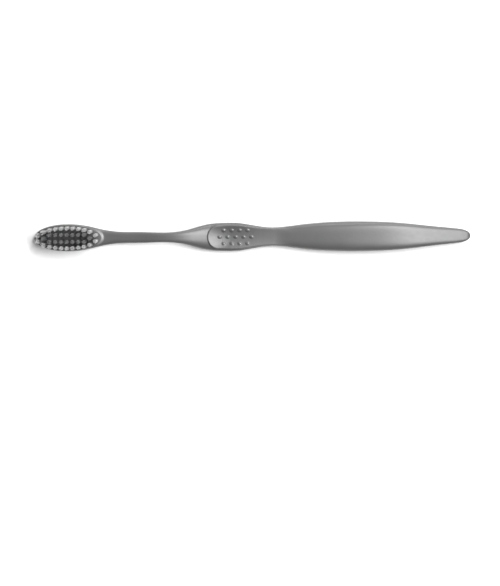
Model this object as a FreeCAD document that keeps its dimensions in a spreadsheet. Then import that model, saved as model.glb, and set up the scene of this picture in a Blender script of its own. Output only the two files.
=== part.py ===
import FreeCAD, Part
import math
import os

# A manual toothbrush lying on its back: +X runs from the head to the tail, the tufts point to +Z.
# The origin lies on the table, under the middle of the overall length. Lengths are in millimetres.

# Driving sizes. A "low" is a height of the underside and a "high" a height of the top over the table,
# and a "run" is the way along the brush from the station before. A low under zero leaves a flat land.
SIZES = (
    # tufts, their holes and the plates that hold them
    ("tuft_pitch", 2.45),
    ("tuft_spacing", 2.0),
    ("inner_row", 1.5),
    ("ring_nose", 0.55),
    ("hole_wall", 0.4),
    ("tip_gap", 0.1),
    ("tuft_clearance", 0.03),
    ("back_wall", 1.5),
    ("outer_height", 10.8),
    ("inner_height", 10.3),
    ("fold_height", 0.45),
    ("anchor_thickness", 0.3),
    ("anchor_bite", 0.15),
    ("anchor_height", 1.3),
    # head and its raised bristle face
    ("head_nose", 2.5),
    ("head_edge", 1.63),
    ("ring_setback", 1.2),
    ("head_low", -0.4),
    ("head_high", 4.6),
    ("face_step", 0.1),
    ("face_depth", 1.2),
    ("face_ledge", 0.3),
    ("face_heel", 1.35),
    ("heel_slope", 4.0),
    # handle stations behind the head
    ("heel_margin", 2.0),
    ("heel_width", 6.95),
    ("heel_low", 0.0),
    ("heel_high", 4.4),
    ("neck_root_run", 6.6),
    ("neck_root_width", 5.15),
    ("neck_root_low", 0.5),
    ("neck_root_high", 5.05),
    ("neck_run", 21.8),
    ("neck_width", 4.4),
    ("neck_low", 2.9),
    ("neck_high", 7.9),
    ("thumb_run", 25.0),
    ("thumb_width", 12.3),
    ("thumb_low", -0.1),
    ("thumb_high", 5.4),
    ("waist_run", 21.0),
    ("waist_width", 8.1),
    ("waist_low", -0.1),
    ("waist_high", 6.1),
    ("grip_run", 35.5),
    ("grip_width", 13.0),
    ("grip_low", -0.4),
    ("grip_high", 9.0),
    ("tail_run", 44.3),
    ("tail_width", 6.25),
    ("tail_low", 1.0),
    ("tail_high", 5.1),
    ("end_run", 5.7),
    ("end_width", 5.1),
    ("end_low", 1.25),
    ("end_high", 4.15),
    # dished thumb rest and its dots
    ("rest_setback", 3.3),
    ("rest_front", 4.6),
    ("rest_half_width", 5.0),
    ("rest_step", 1.3),
    ("rest_depth", 3.4),
    ("rest_rear_half_width", 3.6),
    ("rest_rear_step", 0.15),
    ("rest_fade_run", 5.5),
    ("rest_fade_half_width", 4.0),
    ("rest_fade_drop", 0.75),
    ("scoop_setback", 5.3),
    ("scoop_depth", 1.4),
    ("scoop_radius", 13.0),
    ("scoop_nose", 22.8),
    ("scoop_run", 18.6),
    ("dot_start", 0.7),
    ("dot_pitch", 3.43),
    ("dot_row", 2.8),
    ("dot_length", 1.7),
    ("dot_width", 1.2),
    ("dot_height", 0.35),
    # how far every cut runs past what it cuts
    ("overrun", 1.0),
)

# Tuft columns on each side of the middle one, and those of them with a pair of inner tufts.
COLUMNS_EACH_SIDE = 5
PAIRED_COLUMNS = 3
TUFT_SIDES = 8

# Fullness of the handle's sections: 2 is an ellipse, more is squarer. They grow squarer to the tail.
SECTION_FULLNESS = 3.6
TAIL_FULLNESS = {"grip_0": 4.5, "grip_1": 5.5, "tail": 5.5}
SECTION_SIDES = 28

SCOOP_RISE_DEGREES = 2.5

# Raised dots: how many stand in the middle row, and the shares of their height and of their plan
# at each level from foot to crown.
DOTS_IN_MIDDLE_ROW = 5
DOT_SIDES = 10
DOT_SHARES = ((-1, 1), (0, 1), (0.6, 0.8), (1, 0.35))

# Width of a tuft's folded root.
ROOT_SHARE = 0.7

# Fullness of the two rounded ends, in plan and from the side, and where they have sections, as shares
# of the way from their root station to the very end.
TIP_FULLNESS = 2
TIP_SHARES = (0.35, 0.64, 0.84, 0.95, 0.994)
END_FULLNESS = 2.4
END_SHARES = (0.4, 0.7, 0.9, 0.985)
SIDE_FULLNESS = 4

# Sections between two named stations: shares of the run and of the change in width, low and high.
BETWEEN_SHARES = {
    "head": ((0.5, 0.25, 0.2, 0.3),),
    "neck_root": ((0.48, 0.53, 0.5, 0.46),),
    "neck": ((0.32, 0.25, 0.13, 0.12), (0.66, 0.82, 0.63, 0.68)),
    "thumb": ((0.26, 0.05, 0.25, 0.1), (0.51, 0.43, 0.5, 0.35)),
    "waist": ((0.2, 0.24, 0.3, 0.19), (0.39, 0.58, 0.6, 0.45), (0.69, 0.91, 0.9, 0.81)),
    "grip": ((0.5, 0.3, 0.43, 0.14), (0.81, 0.75, 0.71, 0.64)),
}

# Sections of the thumb rest from its middle to the waist: shares of the run, of the change in half width
# and of the fall of its rims. It widens a little before it narrows.
REST_SHARES = ((0, 0, 0), (0.14, -0.07, 0.14), (0.36, -0.07, 0.36), (0.58, 0.33, 0.58), (1, 1, 1))

STATIONS = ("head", "heel", "neck_root", "neck", "thumb", "waist", "grip", "tail")

# Sizes and places that follow from the driving ones, in the order in which they are worked out.
LAYOUT = (
    ("ring_half_length", f"{COLUMNS_EACH_SIDE} * Sizes.tuft_pitch + Sizes.ring_nose"),
    ("ring_half_width", "(Sizes.inner_row + Sizes.tuft_spacing) / sqrt(1 - "
                        f"({PAIRED_COLUMNS} * Sizes.tuft_pitch / ring_half_length)^2)"),
    ("hole_radius", "(Sizes.tuft_spacing - Sizes.hole_wall) / 2"),
    ("tip_radius", "(Sizes.tuft_spacing - Sizes.tip_gap) / 2"),
    ("head_width", "2 * (ring_half_width + Sizes.head_edge)"),
    ("head_run", "ring_half_length + Sizes.head_nose - Sizes.ring_setback"),
    ("heel_run", "ring_half_length + Sizes.ring_setback + Sizes.heel_margin"),
    ("tip_at", "-(head_run + heel_run + Sizes.neck_root_run + Sizes.neck_run + Sizes.thumb_run"
               " + Sizes.waist_run + Sizes.grip_run + Sizes.tail_run + Sizes.end_run) / 2"),
    ("head_at", "tip_at + head_run"),
    ("heel_at", "head_at + heel_run"),
    ("neck_root_at", "heel_at + Sizes.neck_root_run"),
    ("neck_at", "neck_root_at + Sizes.neck_run"),
    ("thumb_at", "neck_at + Sizes.thumb_run"),
    ("waist_at", "thumb_at + Sizes.waist_run"),
    ("grip_at", "waist_at + Sizes.grip_run"),
    ("tail_at", "grip_at + Sizes.tail_run"),
    ("ring_at", "head_at + Sizes.ring_setback"),
    ("face_high", "Sizes.head_high + Sizes.face_step"),
    ("face_half_width", "head_width / 2 - Sizes.face_ledge"),
    ("face_front", "head_run - Sizes.face_ledge"),
    ("face_rear", "Sizes.ring_setback + ring_half_length + Sizes.face_heel"),
    ("rest_at", "thumb_at - Sizes.rest_setback"),
    ("rest_high", "Sizes.thumb_high + Sizes.rest_step"),
    ("rest_low", "rest_high - Sizes.rest_depth"),
    ("rest_rear_high", "Sizes.waist_high + Sizes.rest_rear_step"),
    ("rest_fade_at", "waist_at + Sizes.rest_fade_run"),
    ("rest_fade_high", "rest_rear_high - Sizes.rest_fade_drop"),
    ("scoop_at", "rest_at + Sizes.scoop_setback"),
    ("scoop_floor", "rest_high - Sizes.scoop_depth"),
)


def make_sheets(doc):
    """Write the driving sizes and the layout that follows from them, each cell with an alias."""
    sizes = doc.addObject("Spreadsheet::Sheet", "Sizes")
    for row, (alias, value) in enumerate(SIZES, start=1):
        sizes.set(f"A{row}", alias)
        sizes.set(f"B{row}", str(value))
        sizes.setAlias(f"B{row}", alias)
    layout = doc.addObject("Spreadsheet::Sheet", "Layout")
    for row, (alias, formula) in enumerate(LAYOUT, start=1):
        layout.set(f"A{row}", alias)
        layout.set(f"B{row}", "=" + formula)
        layout.setAlias(f"B{row}", alias)
    doc.recompute()


def bind(item, **formulas):
    """Bind properties of an object to the sheets; x, y and z stand for its place."""
    for name, formula in formulas.items():
        path = f"Placement.Base.{name}" if name in ("x", "y", "z") else name
        item.setExpression(path, formula)
    return item


def named(station, size):
    """Name the cell that holds a station's place or size."""
    in_layout = size == "at" or (station == "head" and size == "width")
    return f"{'Layout' if in_layout else 'Sizes'}.{station}_{size}"


def oval_point(angle, fullness):
    """Give a point of the unit oval |y|^n + |z|^n = 1, upright across the brush."""
    across, up = math.cos(angle), math.sin(angle)
    power = 2 / fullness
    return FreeCAD.Vector(0, math.copysign(abs(across) ** power, across),
                          math.copysign(abs(up) ** power, up))


def unit_section(doc, fullness):
    """Make the many-sided unit oval that stations of the handle scale."""
    turns = [2 * math.pi * (i % SECTION_SIDES) / SECTION_SIDES for i in range(SECTION_SIDES + 1)]
    section = doc.addObject("Part::Feature", "unit_section")
    section.Shape = Part.makePolygon([oval_point(turn, fullness) for turn in turns])
    return section


def unit_half_outline(doc):
    """Make the closed unit half circle, flat side on the Y axis, that the raised blocks scale."""
    top = FreeCAD.Vector(0, 1, 0)
    nose = FreeCAD.Vector(1, 0, 0)
    bottom = FreeCAD.Vector(0, -1, 0)
    round_side = Part.Arc(top, nose, bottom).toShape()
    flat_side = Part.LineSegment(bottom, top).toShape()
    outline = doc.addObject("Part::Feature", "unit_half_outline")
    outline.Shape = Part.Wire([round_side, flat_side])
    return outline


def unit_square(doc):
    """Make the upright unit square that the sections of the thumb rest scale."""
    corners = [FreeCAD.Vector(0, y, z) for y, z in ((1, 1), (-1, 1), (-1, -1), (1, -1), (1, 1))]
    square = doc.addObject("Part::Feature", "unit_square")
    square.Shape = Part.makePolygon(corners)
    return square


def unit_ring(doc):
    """Make the many-sided unit ring that the levels of the dots scale."""
    ring = doc.addObject("Part::RegularPolygon", "unit_ring")
    ring.Polygon = DOT_SIDES
    ring.Circumradius = 1
    return ring


def scaled(doc, unit, name, **formulas):
    """Scale a unit outline by bound factors and put it at a bound place."""
    outline = doc.addObject("Part::Scale", name)
    outline.Base = unit
    outline.Uniform = False
    return bind(outline, **formulas)


def loft(doc, name, sections, ruled):
    """Loft a solid through sections, straight from one to the next where it is ruled."""
    solid = doc.addObject("Part::Loft", name)
    solid.Sections = sections
    solid.Solid = True
    solid.Ruled = ruled
    return solid


def station(doc, unit, name, at, half_width, low, high):
    """Scale an upright unit outline to a half width and two heights, at a place along the brush."""
    return scaled(doc, unit, name, YScale=half_width, ZScale=f"({high} - {low}) / 2",
                  x=at, z=f"({high} + {low}) / 2")


def between(first, second, share):
    """Write the value at a share of the way from one value to another."""
    if share == 0 or first == second:
        return first
    return f"({first} + ({second} - {first}) * {share})"


def rounded_end(doc, unit, root, end, run, shares, fullness):
    """Make the sections of a rounded end, which would reach the end section if it weren't rounded."""
    sections = []
    for number, share in enumerate(shares):
        width_share = (1 - share ** fullness) ** (1 / fullness)
        height_share = (1 - share ** SIDE_FULLNESS) ** (1 / SIDE_FULLNESS)
        width, low, high = (between(named(root, size), named(end, size), share)
                            for size in ("width", "low", "high"))
        middle = f"({low} + {high}) / 2"
        half_height = f"({high} - {low}) / 2 * {height_share}"
        sections.append(station(doc, unit, f"{root}_end_{number}", f"{named(root, 'at')} + {run} * {share}",
                                f"{width} / 2 * {width_share}",
                                f"({middle} - {half_height})", f"({middle} + {half_height})"))
    return sections


def handle_skin(doc):
    """Loft the handle's outer skin through its stations, from the tip of the head to the tail."""
    units = {fullness: unit_section(doc, fullness)
             for fullness in {SECTION_FULLNESS, *TAIL_FULLNESS.values()}}
    first_unit, last_unit = units[SECTION_FULLNESS], units[TAIL_FULLNESS["tail"]]
    tip = rounded_end(doc, first_unit, "head", "head", "-Layout.head_run", TIP_SHARES, TIP_FULLNESS)
    sections = tip[::-1]
    for here, following in zip(STATIONS, STATIONS[1:] + (None,)):
        rows = [(here, (0, 0, 0, 0))]
        rows += [(f"{here}_{number}", shares) for number, shares in enumerate(BETWEEN_SHARES.get(here, ()))]
        for name, shares in rows:
            at, width, low, high = (between(named(here, size), named(following or here, size), share)
                                    for size, share in zip(("at", "width", "low", "high"), shares))
            unit = units[TAIL_FULLNESS.get(name, SECTION_FULLNESS)]
            sections.append(station(doc, unit, name, at, f"{width} / 2", low, high))
    sections += rounded_end(doc, last_unit, "tail", "end", "Sizes.end_run", END_SHARES, END_FULLNESS)
    return loft(doc, "skin", sections, ruled=False)


def half_block(doc, outline, name, at, half_width, base, top, base_reach, top_reach):
    """Raise one rounded half of a block; its end leans where the two reaches differ."""
    levels = [scaled(doc, outline, f"{name}_{level}", XScale=reach, YScale=half_width, x=at, z=height)
              for level, height, reach in (("base", base, base_reach), ("top", top, top_reach))]
    return loft(doc, name, levels, ruled=True)


def bristle_face(doc, outline):
    """Raise the face that the tufts stand in, in two halves; the rear one has a sloped heel."""
    sizes = {"at": "Layout.head_at", "half_width": "Layout.face_half_width",
             "base": "Layout.face_high - Sizes.face_depth", "top": "Layout.face_high"}
    tip = half_block(doc, outline, "face_tip", base_reach="-Layout.face_front",
                     top_reach="-Layout.face_front", **sizes)
    heel = half_block(doc, outline, "face_heel", base_reach="Layout.face_rear + Sizes.heel_slope",
                      top_reach="Layout.face_rear", **sizes)
    return [tip, heel]


def thumb_rest(doc, outline):
    """Raise the thumb rest: a rounded front, then rims that follow the handle to the waist and fade."""
    front = half_block(doc, outline, "rest_front", "Layout.rest_at", "Sizes.rest_half_width",
                       "Layout.rest_low", "Layout.rest_high", "-Sizes.rest_front", "-Sizes.rest_front")
    square = unit_square(doc)
    sections = []
    for number, (run, narrowing, fall) in enumerate(REST_SHARES):
        at = between("Layout.rest_at", "Layout.waist_at", run)
        half_width = between("Sizes.rest_half_width", "Sizes.rest_rear_half_width", narrowing)
        high = between("Layout.rest_high", "Layout.rest_rear_high", fall)
        sections.append(station(doc, square, f"rest_{number}", at, half_width, "Layout.rest_low", high))
    sections.append(station(doc, square, "rest_fade", "Layout.rest_fade_at", "Sizes.rest_fade_half_width",
                            "Layout.rest_low", "Layout.rest_fade_high"))
    return [front, loft(doc, "rest_rear", sections, ruled=False)]


def thumb_scoop(doc):
    """Make the rod, long-nosed in front and rising a little to the rear, that hollows the thumb rest."""
    centre = "Layout.scoop_floor + Sizes.scoop_radius"
    front = bind(doc.addObject("Part::Ellipsoid", "scoop_front"), Radius1="Sizes.scoop_radius",
                 Radius2="Sizes.scoop_nose", Radius3="Sizes.scoop_radius", x="Layout.scoop_at", z=centre)
    rod = doc.addObject("Part::Cylinder", "scoop_rod")
    rod.Placement.Rotation = FreeCAD.Rotation(FreeCAD.Vector(0, 1, 0), 90 - SCOOP_RISE_DEGREES)
    bind(rod, Radius="Sizes.scoop_radius", Height="Sizes.scoop_run", x="Layout.scoop_at", z=centre)
    rear = bind(doc.addObject("Part::Sphere", "scoop_rear"), Radius="Sizes.scoop_radius",
                x=f"Layout.scoop_at + Sizes.scoop_run * cos({SCOOP_RISE_DEGREES})",
                z=f"{centre} + Sizes.scoop_run * sin({SCOOP_RISE_DEGREES})")
    return fused(doc, "scoop", [front, rod, rear])


def thumb_dots(doc):
    """Stand the oval dots on the floor of the scoop, the outer rows half a pitch behind the middle one."""
    ring = unit_ring(doc)
    dots = []
    for row in (-1, 0, 1):
        for place in range(DOTS_IN_MIDDLE_ROW - abs(row)):
            name = f"dot_{row + 1}_{place}"
            along = f"(Layout.rest_at + Sizes.dot_start + Sizes.dot_pitch * {place + abs(row) / 2})"
            across = f"(Sizes.dot_row * {row})"
            past = f"({along} - Layout.scoop_at)"
            ahead_share = f"(min({past}; 0) / Sizes.scoop_nose)"
            across_share = f"({across} / Sizes.scoop_radius)"
            floor = (f"Layout.scoop_floor + max({past}; 0) * tan({SCOOP_RISE_DEGREES})"
                     f" + Sizes.scoop_radius * (1 - sqrt(1 - {ahead_share}^2 - {across_share}^2))")
            levels = [scaled(doc, ring, f"{name}_{level}", XScale=f"Sizes.dot_length / 2 * {reach}",
                             YScale=f"Sizes.dot_width / 2 * {reach}", x=along, y=across,
                             z=f"{floor} + Sizes.dot_height * {height}")
                      for level, (height, reach) in enumerate(DOT_SHARES)]
            dots.append(loft(doc, name, levels, ruled=True))
    return dots


def tuft_places():
    """List every tuft as its kind and its place as formulas."""
    places = []
    for column in range(-COLUMNS_EACH_SIDE, COLUMNS_EACH_SIDE + 1):
        along = f"Layout.ring_at + Sizes.tuft_pitch * {column}"
        along_share = f"(Sizes.tuft_pitch * {column} / Layout.ring_half_length)"
        on_ring = f"Layout.ring_half_width * sqrt(1 - {along_share}^2)"
        places += [("outer", along, f"{side} * {on_ring}") for side in (-1, 1)]
        if abs(column) <= PAIRED_COLUMNS:
            places += [("inner", along, f"{side} * Sizes.inner_row") for side in (-1, 1)]
        elif abs(column) < COLUMNS_EACH_SIDE:
            places.append(("inner", along, "0"))
    return places


def tuft_hole(doc, number, along, across):
    """Make the blind hole of one tuft, from its floor to past the bristle face."""
    hole = doc.addObject("Part::Prism", f"hole_{number:02d}")
    hole.Polygon = TUFT_SIDES
    return bind(hole, Circumradius="Layout.hole_radius",
                Height="Layout.face_high - Sizes.back_wall + Sizes.overrun",
                x=along, y=across, z="Sizes.back_wall")


def anchor_plate(doc, number, along, across):
    """Make one anchor plate, wider than its hole, which bites into the wall on both sides."""
    plate = doc.addObject("Part::Box", f"anchor_{number:02d}")
    length = "2 * (Layout.hole_radius + Sizes.anchor_bite)"
    return bind(plate, Length=length, Width="Sizes.anchor_thickness", Height="Sizes.anchor_height",
                x=f"{along} - Layout.hole_radius - Sizes.anchor_bite",
                y=f"{across} - Sizes.anchor_thickness / 2", z="Sizes.back_wall + Sizes.fold_height")


def tuft(doc, label, kind, along, across, plate):
    """Loft one tuft from its folded root to its trimmed end and open the fold for the anchor plate."""
    shank = "(Layout.hole_radius - Sizes.tuft_clearance)"
    levels = (
        (f"{shank} * {ROOT_SHARE}", "Sizes.back_wall + Sizes.tuft_clearance"),
        (shank, "Sizes.back_wall + Sizes.fold_height"),
        (shank, "Layout.face_high"),
        ("Layout.tip_radius", f"Layout.face_high + Sizes.{kind}_height"),
    )
    sections = []
    for number, (radius, height) in enumerate(levels):
        ring = doc.addObject("Part::RegularPolygon", f"{label}_level_{number}")
        ring.Polygon = TUFT_SIDES
        sections.append(bind(ring, Circumradius=radius, x=along, y=across, z=height))
    return cut(doc, label, loft(doc, f"{label}_bundle", sections, ruled=True), plate)


def tufted_pieces(doc):
    """Make all tufts, their holes and the one group of anchor plates."""
    tufts, holes, plates = [], [], []
    counts = {"outer": 0, "inner": 0}
    for number, (kind, along, across) in enumerate(tuft_places(), start=1):
        counts[kind] += 1
        holes.append(tuft_hole(doc, number, along, across))
        plates.append(anchor_plate(doc, number, along, across))
        tufts.append(tuft(doc, f"{kind}_tuft_{counts[kind]:02d}", kind, along, across, plates[-1]))
    anchors = doc.addObject("Part::Compound", "anchor_staples")
    anchors.Links = plates
    return tufts, holes, anchors


def fused(doc, name, shapes):
    """Fuse several shapes into one."""
    whole = doc.addObject("Part::MultiFuse", name)
    whole.Shapes = shapes
    return whole


def cut(doc, name, base, tool):
    """Cut one shape out of another."""
    rest = doc.addObject("Part::Cut", name)
    rest.Base = base
    rest.Tool = tool
    return rest


def table_block(doc):
    """Make the block under the table plane that leaves flat lands on the back of the handle."""
    block = doc.addObject("Part::Box", "table_block")
    return bind(block, Length="-2 * Layout.tip_at", Width="Layout.head_width + Sizes.grip_width",
                Height="Sizes.grip_high", x="Layout.tip_at",
                y="-(Layout.head_width + Sizes.grip_width) / 2", z="-Sizes.grip_high")


def moulded_handle(doc, holes, anchors):
    """Join the skin, the raised blocks and the dots, and cut the scoop, the holes and the flat lands."""
    outline = unit_half_outline(doc)
    blank = fused(doc, "blank", [handle_skin(doc)] + bristle_face(doc, outline) + thumb_rest(doc, outline))
    dished = cut(doc, "dished", blank, thumb_scoop(doc))
    dotted = fused(doc, "dotted", [dished] + thumb_dots(doc))
    landed = cut(doc, "landed", dotted, table_block(doc))
    drilled = cut(doc, "drilled", landed, fused(doc, "all_holes", holes))
    return cut(doc, "handle", drilled, anchors)


def export(doc, pieces):
    """Check every object and write each piece to a STEP file of its own name."""
    for item in doc.Objects:
        if "Invalid" in item.State or "Error" in item.State:
            raise RuntimeError(f"{item.Name} did not compute: {item.State}")
    os.makedirs("parts", exist_ok=True)
    for piece in pieces:
        if piece.Shape.isNull() or not piece.Shape.isValid():
            raise RuntimeError(f"{piece.Label} has no valid shape")
        piece.Shape.exportStep(f"parts/{piece.Label}.step")
        print(piece.Label, len(piece.Shape.Solids), "solids", round(piece.Shape.Volume, 2), "mm3")


def main():
    """Build the brush and export its pieces."""
    doc = FreeCAD.newDocument("toothbrush")
    make_sheets(doc)
    tufts, holes, anchors = tufted_pieces(doc)
    handle = moulded_handle(doc, holes, anchors)
    doc.recompute()
    export(doc, [handle, anchors] + tufts)


main()
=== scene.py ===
"""Dress a manual toothbrush that lies on its back: moulded handle, nylon tufts and brass anchors.

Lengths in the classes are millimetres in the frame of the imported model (+X from head to tail, +Z up
along the tufts). They become metres where they reach Blender. Depths and scales in the finishes are
in metres, as the shaders read them.
"""
import logging
import math
from dataclasses import dataclass, field
from enum import Enum
from itertools import zip_longest

import bpy
import numpy as np
from mathutils import Matrix, Vector


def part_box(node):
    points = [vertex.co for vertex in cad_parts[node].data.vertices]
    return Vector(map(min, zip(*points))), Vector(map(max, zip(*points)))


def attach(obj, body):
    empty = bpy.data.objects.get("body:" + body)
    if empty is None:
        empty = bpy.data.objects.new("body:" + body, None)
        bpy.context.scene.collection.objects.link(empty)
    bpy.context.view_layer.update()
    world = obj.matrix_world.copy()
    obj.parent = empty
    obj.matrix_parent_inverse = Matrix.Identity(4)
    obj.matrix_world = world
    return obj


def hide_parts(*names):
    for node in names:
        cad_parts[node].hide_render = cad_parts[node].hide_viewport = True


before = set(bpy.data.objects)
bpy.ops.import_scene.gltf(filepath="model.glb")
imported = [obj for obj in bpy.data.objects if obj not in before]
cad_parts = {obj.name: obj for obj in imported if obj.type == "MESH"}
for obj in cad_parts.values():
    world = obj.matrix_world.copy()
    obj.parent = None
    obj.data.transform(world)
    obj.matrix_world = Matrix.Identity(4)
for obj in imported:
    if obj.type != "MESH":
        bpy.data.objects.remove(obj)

Colour = tuple[float, float, float]

MM = 0.001
BODY = "root"
BLACK = (0.0, 0.0, 0.0)
GOLDEN_ANGLE = math.pi * (3 - math.sqrt(5))

log = logging.getLogger("toothbrush")


class TuftKind(Enum):
    """The two colours of tuft, named as their nodes are."""

    OUTER = "outer"
    INNER = "inner"


class Slot(Enum):
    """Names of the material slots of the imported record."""

    HANDLE = "handle_plastic"
    OUTER = "outer_bristle"
    INNER = "inner_bristle"


# Numeric helpers


def natural_spline(knots: np.ndarray, values: np.ndarray, at: np.ndarray) -> np.ndarray:
    """Interpolate with a natural cubic spline.

    The second derivatives m at the knots solve the usual tridiagonal system, and between two knots
    the value is a*v0 + b*v1 + ((a^3 - a)*m0 + (b^3 - b)*m1) * h^2 / 6.

    Args:
        knots: Rising parameters of the knots.
        values: Values at the knots.
        at: Parameters to evaluate at.

    Returns:
        The interpolated values, shaped like ``at``.
    """
    steps = np.diff(knots)
    count = len(knots)
    inner = np.arange(1, count - 1)
    system = np.eye(count)
    system[inner, inner - 1] = steps[:-1]
    system[inner, inner] = 2 * (steps[:-1] + steps[1:])
    system[inner, inner + 1] = steps[1:]
    slopes = np.diff(values) / steps
    right = np.zeros(count)
    right[1:-1] = 6 * np.diff(slopes)
    second = np.linalg.solve(system, right)
    low = np.clip(np.searchsorted(knots, at) - 1, 0, count - 2)
    step = steps[low]
    a = (knots[low + 1] - at) / step
    b = 1 - a
    bend = ((a**3 - a) * second[low] + (b**3 - b) * second[low + 1]) * step**2 / 6
    return a * values[low] + b * values[low + 1] + bend


def soft_min(a: np.ndarray, b: np.ndarray, blend: float | np.ndarray) -> np.ndarray:
    """Join two distance fields with a fillet: the lesser of a and b, rounded over the blend width.

    Args:
        a: First field.
        b: Second field.
        blend: Width of the fillet.

    Returns:
        The joined field.
    """
    mix = np.clip(0.5 + 0.5 * (b - a) / blend, 0, 1)
    return b + (a - b) * mix - blend * mix * (1 - mix)


def soft_max(a: np.ndarray, b: np.ndarray, blend: float | np.ndarray) -> np.ndarray:
    """Intersect two distance fields with a rounded edge of the blend width."""
    return -soft_min(-a, -b, blend)


# Meshes


def ring_quads(rows: int, columns: int) -> np.ndarray:
    """List the quads of a tube of rows by columns points that closes round its columns.

    Args:
        rows: Number of rings.
        columns: Points on each ring.

    Returns:
        An integer array of corner indices, one quad a line.
    """
    row, column = np.meshgrid(np.arange(rows - 1), np.arange(columns), indexing="ij")
    right = (column + 1) % columns
    quads = np.stack((row * columns + column, row * columns + right,
                      (row + 1) * columns + right, (row + 1) * columns + column), axis=-1)
    return quads.reshape(-1, 4)


def fan(ring: np.ndarray, pole: int, outward: bool) -> np.ndarray:
    """Close a ring of points with triangles to a pole.

    Args:
        ring: Indices of the ring, in order.
        pole: Index of the pole.
        outward: True where the ring's order already faces outwards with the pole last.

    Returns:
        An integer array of corner indices, one triangle a line.
    """
    following = np.roll(ring, -1)
    poles = np.full_like(ring, pole)
    corners = (ring, following, poles) if outward else (following, ring, poles)
    return np.stack(corners, axis=-1)


def write_mesh(name: str, points: np.ndarray, quads: np.ndarray,
               triangles: np.ndarray) -> bpy.types.Object:
    """Put arrays of points and faces into a smooth-shaded mesh object at the origin.

    Args:
        name: Name of the object and its mesh.
        points: Points in millimetres.
        quads: Corner indices of the quads.
        triangles: Corner indices of the triangles.

    Returns:
        The linked object.
    """
    mesh = bpy.data.meshes.new(name)
    corners = np.concatenate((quads.ravel(), triangles.ravel()))
    sizes = np.concatenate((np.full(len(quads), 4), np.full(len(triangles), 3)))
    mesh.vertices.add(len(points))
    mesh.vertices.foreach_set("co", (points * MM).astype(np.float32).ravel())
    mesh.loops.add(len(corners))
    mesh.loops.foreach_set("vertex_index", corners.astype(np.int32))
    mesh.polygons.add(len(sizes))
    starts = np.concatenate(([0], np.cumsum(sizes)[:-1]))
    mesh.polygons.foreach_set("loop_start", starts.astype(np.int32))
    mesh.polygons.foreach_set("use_smooth", np.ones(len(sizes), dtype=bool))
    mesh.update(calc_edges=True)
    mesh.validate()
    item = bpy.data.objects.new(name, mesh)
    bpy.context.scene.collection.objects.link(item)
    return item


def keep_numbers(piece: bpy.types.Object, name: str, values: np.ndarray) -> None:
    """Keep a number for each point of a mesh as an attribute."""
    layer = piece.data.attributes.new(name, "FLOAT", "POINT")
    layer.data.foreach_set("value", values.astype(np.float32))


# Finishes


def shade(colour: Colour, factor: float) -> Colour:
    """Scale a colour's brightness, up to white at most."""
    return tuple(min(1.0, part * factor) for part in colour)


class Sheet:
    """A small builder of one material's node tree."""

    def __init__(self, name: str) -> None:
        """Start a material with only a shader and an output.

        Args:
            name: Name of the material.
        """
        self.material = bpy.data.materials.new(name)
        self.material.use_nodes = True
        self.tree = self.material.node_tree
        self.shader = self.tree.nodes["Principled BSDF"]

    def node(self, kind: str, inputs: dict | None = None, **properties: object) -> bpy.types.Node:
        """Add a node.

        Args:
            kind: Type of the node.
            inputs: Socket name to a value, or to an output socket that is linked in.
            properties: Properties of the node itself.

        Returns:
            The new node.
        """
        item = self.tree.nodes.new(kind)
        for key, value in properties.items():
            setattr(item, key, value)
        for key, value in (inputs or {}).items():
            if isinstance(value, bpy.types.NodeSocket):
                self.tree.links.new(value, item.inputs[key])
            else:
                item.inputs[key].default_value = value
        return item

    def feed(self, socket: str, output: bpy.types.NodeSocket) -> None:
        """Link an output to a socket of the shader."""
        self.tree.links.new(output, self.shader.inputs[socket])

    def hold(self, **values: object) -> None:
        """Set constant numbers on the shader's own sockets; underscores stand for spaces."""
        for key, value in values.items():
            self.shader.inputs[key.replace("_", " ")].default_value = value

    def place(self) -> bpy.types.NodeSocket:
        """Give the Object coordinates that the patterns follow."""
        return self.node("ShaderNodeTexCoord").outputs["Object"]

    def number(self, name: str) -> bpy.types.NodeSocket:
        """Read the numbers that a mesh keeps for its points."""
        return self.node("ShaderNodeAttribute", attribute_name=name).outputs["Fac"]

    def noise(self, vector: bpy.types.NodeSocket, scale: float,
              detail: float = 2.0) -> bpy.types.NodeSocket:
        """Add a noise pattern and give its factor.

        Args:
            vector: Coordinates of the pattern.
            scale: Features for each metre.
            detail: Octaves of finer noise.

        Returns:
            The factor, from 0 to 1.
        """
        node = self.node("ShaderNodeTexNoise", {"Vector": vector, "Scale": scale, "Detail": detail})
        return node.outputs["Fac"]

    def spread(self, value: bpy.types.NodeSocket, low: float | bpy.types.NodeSocket,
               high: float) -> bpy.types.NodeSocket:
        """Map a factor from 0 to 1 onto a range, whose low end may be a socket."""
        node = self.node("ShaderNodeMapRange", {"Value": value, "To Min": low, "To Max": high})
        return node.outputs["Result"]

    def tones(self, value: bpy.types.NodeSocket, places: tuple[float, float],
              colours: tuple[Colour, Colour]) -> bpy.types.NodeSocket:
        """Map a factor onto a ramp between two colours.

        Args:
            value: Factor from 0 to 1.
            places: Where on the factor the two colours stand.
            colours: The two colours.

        Returns:
            The colour.
        """
        ramp = self.node("ShaderNodeValToRGB", {"Fac": value})
        for stop, place, colour in zip(ramp.color_ramp.elements, places, colours):
            stop.position = place
            stop.color = (*colour, 1.0)
        return ramp.outputs["Color"]

    def bump(self, height: bpy.types.NodeSocket, distance: float) -> None:
        """Bump the surface by a factor times a depth in metres, at full strength."""
        node = self.node("ShaderNodeBump", {"Height": height, "Distance": distance, "Strength": 1.0})
        self.feed("Normal", node.outputs["Normal"])


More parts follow.
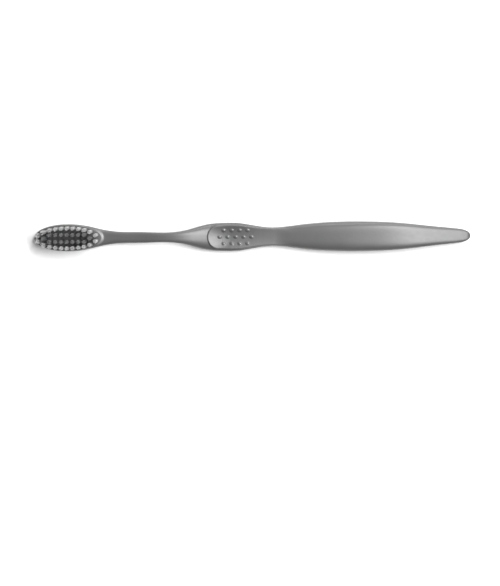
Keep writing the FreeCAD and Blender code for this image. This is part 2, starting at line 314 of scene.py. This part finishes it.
@dataclass(frozen=True)
class MouldedPlastic:
    """Satin moulded plastic: fine grain, faint cloudiness, a highlight painted paler at the heel and
    polished dots.
    """

    colour: Colour = (0.08, 0.08, 0.08)
    # Paler colour of the highlight painted at the heel of the bristle face.
    painted_highlight_colour: Colour = (0.15, 0.15, 0.15)
    cloud: float = 0.06
    cloud_places: tuple[float, float] = (0.3, 0.7)
    cloud_scale: float = 70.0
    cloud_detail: float = 4.0
    satin_scale: float = 560.0
    grain_scale: float = 1300.0
    grain_depth: float = 0.00002
    fine_detail: float = 3.0
    roughness: tuple[float, float] = (0.35, 0.43)
    polished: float = 0.27
    ior: float = 1.53

    def cloudy(self, sheet: Sheet, cloud: bpy.types.NodeSocket, colour: Colour) -> bpy.types.NodeSocket:
        """Make a colour a little lighter and darker by the cloud pattern."""
        ends = (shade(colour, 1 - self.cloud), shade(colour, 1 + self.cloud))
        return sheet.tones(cloud, self.cloud_places, ends)

    def build(self, name: str) -> bpy.types.Material:
        """Make the material: cloudy tone, a paler painted highlight at the heel, uneven satin and grain
        bump.

        Args:
            name: Name of the material.

        Returns:
            The material.
        """
        sheet = Sheet(name)
        place = sheet.place()
        cloud = sheet.noise(place, self.cloud_scale, self.cloud_detail)
        body = self.cloudy(sheet, cloud, self.colour)
        edge = self.cloudy(sheet, cloud, self.painted_highlight_colour)
        # The heel's painted highlight: its share mixes the paler colour into the body's.
        worn_stray_and_heel_highlight = sheet.number("heel_highlight_and_tuft_wear")
        tone = sheet.node("ShaderNodeMixRGB", {"Fac": worn_stray_and_heel_highlight, "Color1": body, "Color2": edge})
        sheet.feed("Base Color", tone.outputs["Color"])
        satin = sheet.spread(sheet.noise(place, self.satin_scale, self.fine_detail), *self.roughness)
        sheet.feed("Roughness", sheet.spread(sheet.number("polish"), satin, self.polished))
        sheet.bump(sheet.noise(place, self.grain_scale, self.fine_detail), self.grain_depth)
        sheet.hold(IOR=self.ior)
        return sheet.material


@dataclass(frozen=True)
class NylonStrands:
    """Nylon filament, each strand a little lighter or darker than the next, with painted shade
    darkening it towards its root.
    """

    colour: Colour
    strand_spread: float = 0.28
    # Painted shade: the colour's factor at the root, darkening the strands down into the gaps between
    # the tufts.
    painted_root_shade: float = 0.4
    roughness: tuple[float, float] = (0.35, 0.5)
    streak_scale: float = 900.0
    ior: float = 1.53

    def build(self, name: str) -> bpy.types.Material:
        """Make the material from the strand and rise numbers of the bundle.

        The strand's share, about a half, times the painted shade at that height runs along a ramp
        from black to twice the colour.

        Args:
            name: Name of the material.

        Returns:
            The material.
        """
        sheet = Sheet(name)
        low, high = (1 - self.strand_spread) / 2, (1 + self.strand_spread) / 2
        strand = sheet.spread(sheet.number("strand"), low, high)
        # Painted shade, darker towards the root.
        rise = sheet.spread(sheet.number("rise"), self.painted_root_shade, 1.0)
        tone = sheet.node("ShaderNodeMath", {0: strand, 1: rise}, operation="MULTIPLY")
        ends = (BLACK, shade(self.colour, 2.0))
        sheet.feed("Base Color", sheet.tones(tone.outputs["Value"], (0.0, 1.0), ends))
        streak = sheet.noise(sheet.place(), self.streak_scale)
        sheet.feed("Roughness", sheet.spread(streak, *self.roughness))
        sheet.hold(IOR=self.ior)
        return sheet.material


@dataclass(frozen=True)
class RolledBrass:
    """Thin rolled brass strip with lengthwise rolling lines."""

    colour: Colour = (0.71, 0.53, 0.25)
    dull: float = 0.8
    line_places: tuple[float, float] = (0.2, 0.8)
    line_scale: float = 9000.0
    line_stretch: tuple[float, float, float] = (0.04, 1.0, 1.0)
    line_depth: float = 0.000004
    roughness: tuple[float, float] = (0.25, 0.45)

    def build(self, name: str) -> bpy.types.Material:
        """Make the material: rolling lines along X in tone, roughness and bump.

        Args:
            name: Name of the material.

        Returns:
            The material.
        """
        sheet = Sheet(name)
        stretch = sheet.node("ShaderNodeMapping", {"Vector": sheet.place(), "Scale": self.line_stretch})
        lines = sheet.noise(stretch.outputs["Vector"], self.line_scale)
        ends = (shade(self.colour, self.dull), self.colour)
        sheet.feed("Base Color", sheet.tones(lines, self.line_places, ends))
        sheet.feed("Roughness", sheet.spread(lines, *self.roughness))
        sheet.bump(lines, self.line_depth)
        sheet.hold(Metallic=1.0)
        return sheet.material


@dataclass(frozen=True)
class PaleFloor:
    """Plain white studio floor with the least unevenness."""

    colour: Colour = (0.92, 0.92, 0.92)
    dull: float = 0.995
    cloud_places: tuple[float, float] = (0.3, 0.7)
    cloud_scale: float = 6.0
    roughness: float = 0.9
    specular: float = 0.1

    def build(self, name: str) -> bpy.types.Material:
        """Make the matte white material.

        Args:
            name: Name of the material.

        Returns:
            The material.
        """
        sheet = Sheet(name)
        cloud = sheet.noise(sheet.place(), self.cloud_scale)
        ends = (shade(self.colour, self.dull), self.colour)
        sheet.feed("Base Color", sheet.tones(cloud, self.cloud_places, ends))
        sheet.hold(Roughness=self.roughness, Specular_IOR_Level=self.specular)
        return sheet.material


# Handle


@dataclass(frozen=True)
class Station:
    """One named section of the handle: run from the section before, width and two heights."""

    name: str
    run: float
    width: float
    low: float
    high: float


@dataclass(frozen=True)
class Plan:
    """Outline of the raised bristle face: two half ellipses that meet at its centre."""

    centre: float
    half_width: float
    front: float
    rear: float


@dataclass(frozen=True)
class RimPoint:
    """One point of the thumb rest's rims: place, half width between them and height."""

    at: float
    half_width: float
    high: float


@dataclass(frozen=True)
class Section:
    """Column arrays that describe the oval of each row of the handle's surface."""

    at: np.ndarray
    half_width: np.ndarray
    middle: np.ndarray
    half_high: np.ndarray


@dataclass
class Handle:
    """The one-shot moulding, as a surface of sections along the brush and rays round each section.

    Every section is the oval |y/a|^n + |(z - c)/b|^n = 1, joined with the raised bristle face and the
    thumb rest, dished by the scoop and cut flat on the table. Where a ray from the middle of the
    section leaves that solid is found by halving. Places along the brush count from its middle.
    """

    stations: tuple[Station, ...] = (
        Station("head", 14.1, 11.8, -0.4, 4.6),
        Station("head_rear", 8.0, 10.6, -0.32, 4.54),
        Station("heel", 8.0, 6.95, 0.0, 4.4),
        Station("neck_root", 6.6, 5.15, 0.5, 5.05),
        Station("neck", 10.46, 4.75, 1.7, 6.36),
        Station("neck_crest", 11.34, 4.4, 2.9, 7.9),
        Station("shoulder_root", 8.0, 6.38, 2.51, 7.6),
        Station("shoulder", 8.5, 10.88, 1.01, 6.2),
        Station("rest", 8.5, 12.3, -0.1, 5.4),
        Station("rest_middle", 5.46, 12.09, -0.1, 5.47),
        Station("rest_rear", 5.25, 10.49, -0.1, 5.65),
        Station("waist", 10.29, 8.1, -0.1, 6.1),
        Station("grip_root", 7.1, 9.28, -0.19, 6.65),
        Station("grip_rise", 6.75, 10.94, -0.28, 7.4),
        Station("grip_front", 10.65, 12.56, -0.37, 8.45),
        Station("grip", 11.0, 13.0, -0.4, 9.0),
        Station("grip_rear", 22.15, 10.98, 0.2, 8.45),
        Station("tail_root", 13.73, 7.94, 0.59, 6.5),
        Station("tail", 8.42, 6.25, 1.0, 5.1),
    )
    tail_end: Station = Station("tail_end", 5.7, 5.1, 1.25, 4.15)
    half_length: float = 95.0
    # Rounding of the two ends: where their sections stand, and the powers in plan and in side view.
    end_shares: tuple[float, ...] = (0.35, 0.64, 0.84, 0.95, 0.99, 1.0)
    tip_powers: tuple[float, float] = (2.0, 4.0)
    tail_powers: tuple[float, float] = (2.4, 6.0)
    # The power n of the oval at places along the brush: round at the shoulder, squarer to the tail.
    fullness: tuple[tuple[float, float], ...] = (
        (-31.0, 3.6), (-24.0, 2.8), (-18.0, 2.4), (-13.0, 3.6),
        (36.0, 3.6), (52.0, 4.5), (67.15, 5.3), (80.9, 5.5),
    )
    # Bristle face with its sloped heel, and a highlight painted paler in a crescent past the edge.
    face: Plan = Plan(centre=-80.9, half_width=5.6, front=13.8, rear=15.35)
    face_high: float = 4.7
    face_depth: float = 1.2
    heel_slope: float = 4.0
    painted_highlight_band: tuple[float, float] = (0.0, 1.15)
    painted_highlight_half_width: float = 3.0
    painted_highlight_fades: tuple[float, float, float] = (0.1, 0.2, 0.4)
    # Thumb rest, the scoop that dishes it and the dots on it.
    rest_centre: float = -14.8
    rest_front: float = 4.6
    rest_high: float = 6.7
    rest_depth: float = 3.4
    rims: tuple[RimPoint, ...] = (
        RimPoint(-14.8, 5.0, 6.7),
        RimPoint(-11.4, 5.1, 6.64),
        RimPoint(-6.05, 5.1, 6.54),
        RimPoint(-0.71, 4.54, 6.44),
        RimPoint(9.5, 3.6, 6.22),
        RimPoint(18.0, 3.6, 6.12),
    )
    scoop_radius: float = 13.0
    scoop_rear_radius: float = 24.0
    scoop_depth: float = 1.4
    scoop_setback: float = 5.3
    scoop_run: float = 18.6
    scoop_rise: float = math.radians(2.5)
    scoop_nose: float = 22.8
    scoop_front_flat: float = 0.7
    dot_start: float = 0.7
    dot_pitch: float = 3.43
    dot_row: float = 2.8
    dot_size: tuple[float, float, float] = (1.9, 1.35, 0.3)
    dot_dome: float = 0.6
    dots_in_middle: int = 5
    # Widths of the blends where the forms meet.
    face_blend: float = 0.12
    rest_blend: float = 0.3
    fade_blend: float = 0.8
    land_blend: float = 0.5
    # Fineness of the surface.
    rows: int = 570
    top_rays: int = 116
    under_rays: int = 50
    fine_zones: tuple[tuple[float, float], ...] = ((-95.0, -62.0), (-22.0, 11.0))
    fine_step: float = 0.15
    end_step: float = 0.3
    coarse_step: float = 1.0
    samples: int = 4000
    smoothing: int = 40
    longest_ray: float = 12.0
    halvings: int = 28
    tip: float = field(init=False)
    tail: float = field(init=False)

    def __post_init__(self) -> None:
        """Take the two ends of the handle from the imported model."""
        low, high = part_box("handle")
        self.tip = low[0] / MM
        self.tail = high[0] / MM

    def rounded_end(self, root: Station, end: Station, root_at: float, end_at: float,
                    powers: tuple[float, float]) -> np.ndarray:
        """Lay the knots of a rounded end, outwards from its root section.

        At share t the section lies t of the way from root to end. Its width fades as
        (1 - t^p)^(1/p) and its height as (1 - t^q)^(1/q).

        Args:
            root: Section that the end grows from.
            end: Section that it would reach unrounded.
            root_at: Place of the root.
            end_at: Place of the outermost point.
            powers: The powers p and q.

        Returns:
            Lines of place, half width, middle and half height.
        """
        share = np.array(self.end_shares)
        along = root_at + (end_at - root_at) * share
        width = root.width + (end.width - root.width) * share
        low = root.low + (end.low - root.low) * share
        high = root.high + (end.high - root.high) * share
        plan, side = ((1 - share**power) ** (1 / power) for power in powers)
        return np.stack((along, width / 2 * plan, (low + high) / 2, (high - low) / 2 * side))

    def knots(self) -> np.ndarray:
        """Lay all sections out along the brush, from tip to tail.

        Returns:
            Lines of place, half width, middle and half height.
        """
        at = np.cumsum([one.run for one in self.stations]) - self.half_length
        width, low, high = np.array([(one.width, one.low, one.high) for one in self.stations]).T
        first, last = self.stations[0], self.stations[-1]
        tip = self.rounded_end(first, first, at[0], self.tip, self.tip_powers)
        tail = self.rounded_end(last, self.tail_end, at[-1], self.tail, self.tail_powers)
        shaft = np.stack((at, width / 2, (low + high) / 2, (high - low) / 2))
        return np.concatenate((tip[:, ::-1], shaft, tail), axis=1)

    def sections(self) -> Section:
        """Run splines through the knots, sampled finely at the head, the rest and the tail's end.

        The rows stand evenly on the running sum of 1/step, smoothed over its neighbours.

        Returns:
            The sections, one line for each row of the surface.
        """
        knots = self.knots()
        travel = np.concatenate(([0.0], np.cumsum(np.hypot(np.diff(knots[0]), np.diff(knots[1])))))
        fine = np.linspace(0, travel[-1], self.samples)
        along = natural_spline(travel, knots[0], fine)
        step = np.where(along > self.half_length - self.tail_end.run, self.end_step, self.coarse_step)
        for low, high in self.fine_zones:
            step = np.where((along >= low) & (along <= high), self.fine_step, step)
        window = np.ones(2 * self.smoothing + 1) / (2 * self.smoothing + 1)
        density = np.convolve(np.pad(1 / step, self.smoothing, mode="edge"), window, mode="valid")
        progress = np.concatenate(([0.0], np.cumsum((density[1:] + density[:-1]) / 2)))
        at = np.interp(np.linspace(0, progress[-1], self.rows + 2)[1:-1], progress, fine)
        return Section(*(natural_spline(travel, line, at)[:, None] for line in knots))

    def bristle_face(self, x: np.ndarray, y: np.ndarray, z: np.ndarray) -> np.ndarray:
        """Measure the distance to the bristle face, whose plan is two half ellipses.

        The rear ellipse grows longer downwards, which slopes the heel.

        Args:
            x: Places along the brush.
            y: Places across.
            z: Heights.

        Returns:
            The field, below zero inside.
        """
        plan = self.face
        sink = np.clip((self.face_high - z) / self.face_depth, 0, 1)
        reach = np.where(x < plan.centre, plan.front, plan.rear + self.heel_slope * sink)
        wall = (np.hypot((x - plan.centre) / reach, y / plan.half_width) - 1) * plan.half_width
        top = soft_max(wall, z - self.face_high, self.face_blend)
        return soft_max(top, self.face_high - self.face_depth - z, self.face_blend)

    def thumb_rest(self, x: np.ndarray, y: np.ndarray, z: np.ndarray) -> np.ndarray:
        """Measure the distance to the raised rest.

        Its plan is half an ellipse in front, then walls along splines through the points of the rims,
        and its top follows their heights.

        Args:
            x: Places along the brush.
            y: Places across.
            z: Heights.

        Returns:
            The field, below zero inside.
        """
        at, half_widths, highs = np.array([(one.at, one.half_width, one.high) for one in self.rims]).T
        along = np.clip(x, at[0], at[-1])
        half_width = natural_spline(at, half_widths, along)
        high = natural_spline(at, highs, along)
        ahead = np.clip((self.rest_centre - x) / self.rest_front, 0, None)
        wall = (np.hypot(ahead, y / half_width) - 1) * half_width
        top = soft_max(np.maximum(wall, x - at[-1]), z - high, self.rest_blend)
        return np.maximum(top, self.rest_high - self.rest_depth - z)

    def scoop(self, x: np.ndarray, y: np.ndarray, z: np.ndarray) -> np.ndarray:
        """Measure the distance to the rod that hollows the thumb rest.

        The rod rises and grows thicker along its run. Its round front is drawn out to the length of
        the nose and grows flatter across towards the front of the rest.

        Args:
            x: Places along the brush.
            y: Places across.
            z: Heights.

        Returns:
            The field, below zero inside the rod.
        """
        start = self.rest_centre + self.scoop_setback
        along = np.clip(x - start, 0, self.scoop_run)
        radius = np.interp(along, (0, self.scoop_run), (self.scoop_radius, self.scoop_rear_radius))
        middle = self.rest_high - self.scoop_depth + along * math.tan(self.scoop_rise) + radius
        beyond = x - start - along
        beyond *= np.where(beyond < 0, self.scoop_radius / self.scoop_nose, 1.0)
        front = self.rest_centre - self.rest_front
        across = y * np.interp(x, (front, start), (self.scoop_front_flat, 1.0))
        return np.sqrt(beyond**2 + across**2 + (z - middle) ** 2) - radius

    def solid(self, x: np.ndarray, y: np.ndarray, z: np.ndarray, section: Section) -> np.ndarray:
        """Measure the whole solid's field at points of the sections; below zero is inside.

        The oval is joined with the face and the rest, cut by the scoop, whose edge grows softer
        towards the waist, and cut flat on the table.

        Args:
            x: Places along the brush.
            y: Places across.
            z: Heights.
            section: Oval of each row.

        Returns:
            The field at each point.
        """
        power = np.interp(section.at, *np.array(self.fullness).T)
        across = np.abs(y / section.half_width) ** power
        up = np.abs((z - section.middle) / section.half_high) ** power
        oval = ((across + up) ** (1 / power) - 1) * np.minimum(section.half_width, section.half_high)
        joined = soft_min(oval, self.bristle_face(x, y, z), self.face_blend)
        joined = soft_min(joined, self.thumb_rest(x, y, z), self.rest_blend)
        fade_run = (self.rest_centre + self.scoop_run / 2, self.rest_centre + self.scoop_run)
        fade = np.interp(x, fade_run, (self.rest_blend, self.fade_blend))
        dished = soft_max(joined, -self.scoop(x, y, z), fade)
        return soft_max(dished, -z, self.land_blend)

    def surface(self) -> np.ndarray:
        """Find where each ray of each section leaves the solid, by halving.

        Returns:
            Points in an array of rows by rays by three.
        """
        section = self.sections()
        top = np.linspace(0, math.pi, self.top_rays, endpoint=False)
        under = np.linspace(math.pi, 2 * math.pi, self.under_rays, endpoint=False)
        turn = np.concatenate((top, under))[None, :]
        across = section.half_width * np.cos(turn)
        up = section.half_high * np.sin(turn)
        length = np.hypot(across, up)
        across, up = across / length, up / length
        near = np.zeros_like(across)
        far = np.full_like(across, self.longest_ray)
        x = section.at + np.zeros_like(across)
        for _ in range(self.halvings):
            middle = (near + far) / 2
            inside = self.solid(x, middle * across, section.middle + middle * up, section) < 0
            near = np.where(inside, middle, near)
            far = np.where(inside, far, middle)
        return np.stack((x, near * across, section.middle + near * up), axis=-1)

    def dots(self) -> np.ndarray:
        """List the places of the raised dots, the outer rows half a pitch behind the middle one.

        Returns:
            One line of place along and place across for each dot.
        """
        row, place = np.meshgrid((-1, 0, 1), np.arange(self.dots_in_middle), indexing="ij")
        kept = place < self.dots_in_middle - np.abs(row)
        along = self.dot_start + self.dot_pitch * (place + np.abs(row) / 2)
        return np.stack((self.rest_centre + along, self.dot_row * row), axis=-1)[kept]

    def dot_shares(self, points: np.ndarray) -> np.ndarray:
        """Find how high each point stands on a dot: (1 - u^2 - v^2)^p on its oval and 0 elsewhere.

        Args:
            points: Grid of points.

        Returns:
            Shares of the dots' height, from 0 to 1.
        """
        half_size = np.array(self.dot_size[:2]) / 2
        offset = (points[None, :, :, :2] - self.dots()[:, None, None, :]) / half_size
        inside = np.clip(1 - np.sum(offset**2, axis=-1), 0, 1)
        upper_side = points[..., 2] > self.rest_high / 2
        return np.max(inside, axis=0) ** self.dot_dome * upper_side

    def heel_highlight_and_tuft_wear(self, points: np.ndarray) -> np.ndarray:
        """Find how much painted highlight each point takes: 1 in a crescent along the heel of the
        bristle face, then less.

        A point's distance past the edge of the face is (sqrt((x/a)^2 + (y/b)^2) - 1) * a, with a and b
        the rear reach and the half width of the face.

        Args:
            points: Points in millimetres.

        Returns:
            The share of painted highlight at each point, from 0 to 1.
        """
        along, across = points[:, 0] - self.face.centre, np.abs(points[:, 1])
        past = (np.hypot(along / self.face.rear, across / self.face.half_width) - 1) * self.face.rear
        low, high = self.painted_highlight_band
        near, far, side = self.painted_highlight_fades
        # Painted highlight: a band just past the heel's edge, fading towards its ends.
        band = np.interp(past, (low - near, low + near, high - far, high + far), (0, 1, 1, 0))
        ends = np.interp(across, (self.painted_highlight_half_width - side, self.painted_highlight_half_width + side), (1, 0))
        return band * ends * (along > 0) * (points[:, 2] > self.face_high - self.face_depth)

    def build(self) -> bpy.types.Object:
        """Make the handle's mesh with its dots, closed with a pole at each end.

        Returns:
            The handle's object, with painted highlight and polish numbers.
        """
        grid = self.surface()
        polish = self.dot_shares(grid)
        grid[..., 2] += self.dot_size[2] * polish
        rows, rays = grid.shape[:2]
        knots = self.knots()
        poles = np.array(((self.tip, 0.0, knots[2, 0]), (self.tail, 0.0, knots[2, -1])))
        points = np.concatenate((grid.reshape(-1, 3), poles))
        first = np.arange(rays)
        last = (rows - 1) * rays + first
        caps = np.concatenate((fan(first, rows * rays, False), fan(last, rows * rays + 1, True)))
        piece = write_mesh("handle_moulding", points, ring_quads(rows, rays), caps)
        # Numbers of the highlight painted on the heel.
        keep_numbers(piece, "heel_highlight_and_tuft_wear", self.heel_highlight_and_tuft_wear(points))
        keep_numbers(piece, "polish", np.concatenate((polish.ravel(), np.zeros(len(poles)))))
        return piece

    def dress(self, finish: MouldedPlastic) -> bpy.types.Object:
        """Build the handle, give it its finish and tie it to its node.

        Args:
            finish: The handle's plastic.

        Returns:
            The dressed object.
        """
        piece = self.build()
        piece.data.materials.append(finish.build("satin_handle_plastic"))
        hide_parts("handle")
        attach(piece, BODY)
        return piece


# Tufts


@dataclass(frozen=True)
class TuftPlace:
    """Where one tuft stands, and how worn its end is, from 0 to 1."""

    node: str
    kind: TuftKind
    x: float
    y: float
    heel_highlight_and_tuft_wear: float


@dataclass
class TuftField:
    """All tufts: a ring of light ones round paired rows of dark ones, the first columns worn."""

    pitch: float = 2.45
    spacing: float = 2.0
    inner_row: float = 1.5
    ring_nose: float = 0.55
    ring_at: float = -79.7
    columns_each_side: int = 5
    paired_columns: int = 3
    # Wear of the columns from the tip, and what it does to the strands' ends.
    wear_shares: tuple[float, ...] = (1.0, 0.9, 0.35)
    wear_lean: float = 0.4
    stray: tuple[float, float] = (0.07, 0.36)
    fan_out: float = 0.8
    # One tuft, and the levels at which its strands are drawn.
    root_radius: float = 0.77
    root_depth: float = 0.6
    end_radius: float = 0.9
    trim: tuple[float, float] = (0.05, 0.4)
    bend: float = 1.6
    levels: tuple[float, ...] = (0.0, 0.35, 0.7, 1.0)
    strands: int = 50
    # One strand; its end is a depth, a width and a dome in shares of its radius.
    strand_radius: float = 0.1
    strand_end: tuple[float, float, float] = (0.8, 0.55, 0.25)
    sides: int = 6
    seed: int = 7

    def places(self) -> list[TuftPlace]:
        """List the tufts column by column, in the order of their nodes.

        The ring is the ellipse y = b * sqrt(1 - (x/a)^2), whose half width b puts it one spacing
        outside the inner rows at the last paired column.

        Returns:
            One place for each tuft.
        """
        half_length = self.columns_each_side * self.pitch + self.ring_nose
        paired_share = self.paired_columns * self.pitch / half_length
        half_width = (self.inner_row + self.spacing) / math.sqrt(1 - paired_share**2)
        found: list[TuftPlace] = []
        counts = {kind: 0 for kind in TuftKind}
        columns = range(-self.columns_each_side, self.columns_each_side + 1)
        for column, heel_highlight_and_tuft_wear in zip_longest(columns, self.wear_shares, fillvalue=0.0):
            along = self.pitch * column
            ring = half_width * math.sqrt(1 - (along / half_length) ** 2)
            rows = [(TuftKind.OUTER, -ring), (TuftKind.OUTER, ring)]
            if abs(column) <= self.paired_columns:
                rows += [(TuftKind.INNER, -self.inner_row), (TuftKind.INNER, self.inner_row)]
            elif abs(column) < self.columns_each_side:
                rows.append((TuftKind.INNER, 0.0))
            for kind, across in rows:
                counts[kind] += 1
                node = f"{kind.value}_tuft_{counts[kind]:02d}"
                found.append(TuftPlace(node, kind, self.ring_at + along, across, heel_highlight_and_tuft_wear))
        return found

    def strand_lines(self, place: TuftPlace, rng: np.random.Generator) -> np.ndarray:
        """Lay the middle lines of one tuft's strands.

        Strand k starts at radius R*sqrt((k + 1/2)/n) and k golden angles round the hole. It bends
        outwards to its end as a power of its height share, with a seeded stray that grows with wear.

        Args:
            place: The tuft.
            rng: Seeded generator.

        Returns:
            Points of strands by levels by three.
        """
        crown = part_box(place.node)[1][2] / MM
        root = Handle.face_high - self.root_depth
        number = np.arange(self.strands)
        reach = np.sqrt((number + 0.5) / self.strands) * (self.root_radius - self.strand_radius)
        turn = number * GOLDEN_ANGLE + rng.uniform(0, 2 * math.pi)
        start = np.stack((reach * np.cos(turn), reach * np.sin(turn)), axis=-1)
        fresh, worn_stray_and_heel_highlight = self.stray
        stray = rng.normal(0, fresh + (worn_stray_and_heel_highlight - fresh) * place.heel_highlight_and_tuft_wear, (self.strands, 2))
        end = start * (self.end_radius / self.root_radius) + stray
        limit = (self.end_radius - self.strand_radius) * (1 + self.fan_out * place.heel_highlight_and_tuft_wear)
        end *= np.minimum(1, limit / np.linalg.norm(end, axis=-1, keepdims=True))
        levels = np.array(self.levels)
        bend = levels[:, None] ** self.bend
        flat = start[:, None, :] + (end - start)[:, None, :] * bend
        flat += (place.x, place.y)
        flat[..., 0] -= self.wear_lean * place.heel_highlight_and_tuft_wear * bend[:, 0]
        height = crown - root - rng.uniform(*self.trim, self.strands)
        rise = root + height[:, None] * levels
        return np.concatenate((flat, rise[..., None]), axis=-1)

    def build(self, place: TuftPlace, rng: np.random.Generator) -> bpy.types.Object:
        """Make one tuft: six-sided strands carried along their lines, closed, with rounded ends.

        Args:
            place: The tuft.
            rng: Seeded generator.

        Returns:
            The bundle's object, with strand and rise numbers.
        """
        lines = self.strand_lines(place, rng)
        depth, narrow, dome = self.strand_end
        up = np.array((0, 0, self.strand_radius))
        top = lines[:, -1:]
        path = np.concatenate((lines[:, :-1], top - depth * up, top), axis=1)
        radii = self.strand_radius * np.array([1.0] * len(self.levels) + [narrow])
        turn = np.arange(self.sides) * 2 * math.pi / self.sides
        ring = np.stack((np.cos(turn), np.sin(turn), np.zeros(self.sides)), axis=-1)
        rings = path[:, :, None] + ring * radii[:, None, None]
        count, rows = rings.shape[:2]
        skin = rows * self.sides
        points = np.concatenate((rings.reshape(count, skin, 3), lines[:, :1], top + dome * up), axis=1)
        block = points.shape[1]
        first = np.arange(self.sides)
        last = skin - self.sides + first
        caps = np.concatenate((fan(first, skin, False), fan(last, skin + 1, True)))
        offset = (np.arange(count) * block)[:, None, None]
        quads = (ring_quads(rows, self.sides) + offset).reshape(-1, 4)
        triangles = (caps + offset).reshape(-1, 3)
        piece = write_mesh(f"{place.node}_strands", points.reshape(-1, 3), quads, triangles)
        tone = rng.uniform(0, 1, count)
        low, high = self.levels[0], self.levels[-1]
        rise = np.concatenate((np.repeat((*self.levels, high), self.sides), (low, high)))
        keep_numbers(piece, "strand", np.repeat(tone, block))
        keep_numbers(piece, "rise", np.tile(rise, count))
        return piece

    def dress(self, finishes: dict[TuftKind, NylonStrands]) -> list[bpy.types.Object]:
        """Build every tuft and tie it to its node.

        Args:
            finishes: The nylon of each kind of tuft.

        Returns:
            The dressed bundles.
        """
        rng = np.random.default_rng(self.seed)
        materials = {kind: finish.build(f"{kind.value}_nylon") for kind, finish in finishes.items()}
        pieces = []
        for place in self.places():
            piece = self.build(place, rng)
            piece.data.materials.append(materials[place.kind])
            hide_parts(place.node)
            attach(piece, BODY)
            pieces.append(piece)
        return pieces


# Anchors


@dataclass
class Anchors:
    """The hidden anchor plates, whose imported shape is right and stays."""

    node: str = "anchor_staples"

    def dress(self, finish: RolledBrass) -> bpy.types.Object:
        """Give the plates their brass.

        Args:
            finish: The strip's finish.

        Returns:
            The node's own object.
        """
        item = bpy.data.objects[self.node]
        item.data.materials.clear()
        item.data.materials.append(finish.build("rolled_brass"))
        return item


# Stage


@dataclass(frozen=True)
class Lamp:
    """One oblong soft light: its middle, its level side and its other side, and its watts."""

    name: str
    place: tuple[float, float, float]
    size: tuple[float, float]
    power: float


@dataclass
class Studio:
    """White floor, soft lights and the camera straight above, framed as the photograph is.

    The brush's middle lies at a pixel of the photograph, and a pixel's size in millimetres holds at
    the reference height.
    """

    image: tuple[int, int] = (500, 586)
    brush_pixel: tuple[float, float] = (252.0, 236.75)
    pixel: float = 190.0 / 437.0
    distance: float = 750.0
    stand_off: float = 24.0
    reference_height: float = 4.0
    sensor: float = 36.0
    roll: float = math.radians(0.33)
    sight: float = 100_000.0
    floor_half: float = 2000.0
    floor_cells: int = 8
    surroundings: float = 0.14
    lamps: tuple[Lamp, ...] = (
        Lamp("key", (420.0, 180.0, 1100.0), (900.0, 280.0), 23.5),
        Lamp("side", (250.0, 1000.0, 400.0), (900.0, 500.0), 9.5),
    )

    def camera(self) -> bpy.types.Object:
        """Set up the camera.

        Returns:
            The camera's object.
        """
        wide, high = self.image
        across, down = self.brush_pixel
        data = bpy.data.cameras.new("camera")
        data.sensor_width = self.sensor
        data.lens = self.sensor * self.distance / (high * self.pixel)
        data.shift_x = (wide / 2 - across) / high
        data.shift_y = (down - self.stand_off / self.pixel - high / 2) / high
        data.clip_end = self.sight * MM
        item = bpy.data.objects.new("camera", data)
        place = Vector((0, self.stand_off, self.distance + self.reference_height)) * MM
        item.matrix_world = Matrix.Translation(place) @ Matrix.Rotation(-self.roll, 4, "Z")
        bpy.context.scene.collection.objects.link(item)
        bpy.context.scene.camera = item
        return item

    def floor(self, finish: PaleFloor) -> bpy.types.Object:
        """Lay the floor as a flat grid just under the brush.

        Args:
            finish: The floor's finish.

        Returns:
            The floor's object.
        """
        cells = self.floor_cells
        side = np.linspace(-self.floor_half, self.floor_half, cells + 1)
        x, y = np.meshgrid(side, side, indexing="ij")
        points = np.stack((x.ravel(), y.ravel(), np.zeros(x.size)), axis=-1)
        row, column = np.meshgrid(np.arange(cells), np.arange(cells), indexing="ij")
        first = (row * (cells + 1) + column).ravel()
        quads = np.stack((first, first + cells + 1, first + cells + 2, first + 1), axis=-1)
        item = write_mesh("floor", points, quads, np.zeros((0, 3), dtype=int))
        item.data.materials.append(finish.build("white_floor"))
        return item

    def light(self, lamp: Lamp) -> bpy.types.Object:
        """Hang one lamp so that it faces the brush, its first side level.

        Args:
            lamp: The lamp.

        Returns:
            The light's object.
        """
        data = bpy.data.lights.new(lamp.name, "AREA")
        data.shape = "RECTANGLE"
        data.size, data.size_y = (side * MM for side in lamp.size)
        data.energy = lamp.power
        place = Vector(lamp.place) * MM
        away = place.normalized()
        level = Vector((0, 0, 1)).cross(away).normalized()
        turn = Matrix((level, away.cross(level), away)).transposed().to_4x4()
        item = bpy.data.objects.new(lamp.name, data)
        item.matrix_world = Matrix.Translation(place) @ turn
        bpy.context.scene.collection.objects.link(item)
        return item

    def build(self, finish: PaleFloor) -> None:
        """Set the stage: floor, lights, pale surroundings and camera.

        Args:
            finish: The floor's finish.
        """
        self.floor(finish)
        for lamp in self.lamps:
            self.light(lamp)
        world = bpy.data.worlds.new("studio")
        world.use_nodes = True
        background = world.node_tree.nodes["Background"]
        background.inputs["Color"].default_value = (1.0, 1.0, 1.0, 1.0)
        background.inputs["Strength"].default_value = self.surroundings
        bpy.context.scene.world = world
        bpy.context.scene.view_settings.view_transform = "Standard"
        self.camera()


def main() -> None:
    """Build and dress every piece, set the stage and log each piece's faces."""
    logging.basicConfig(level=logging.INFO, format="%(message)s")
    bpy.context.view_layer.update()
    handle = Handle()
    log.info("sections of the handle: %s", ", ".join(one.name for one in handle.stations))
    nylon = {
        TuftKind.OUTER: NylonStrands((0.5, 0.5, 0.5)),
        TuftKind.INNER: NylonStrands((0.2, 0.2, 0.205)),
    }
    pieces = [handle.dress(MouldedPlastic())]
    pieces += TuftField().dress(nylon)
    pieces.append(Anchors().dress(RolledBrass()))
    for piece in pieces:
        log.info("%s: %d faces", piece.name, len(piece.data.polygons))
    Studio().build(PaleFloor())


if __name__ == "__main__":
    main()
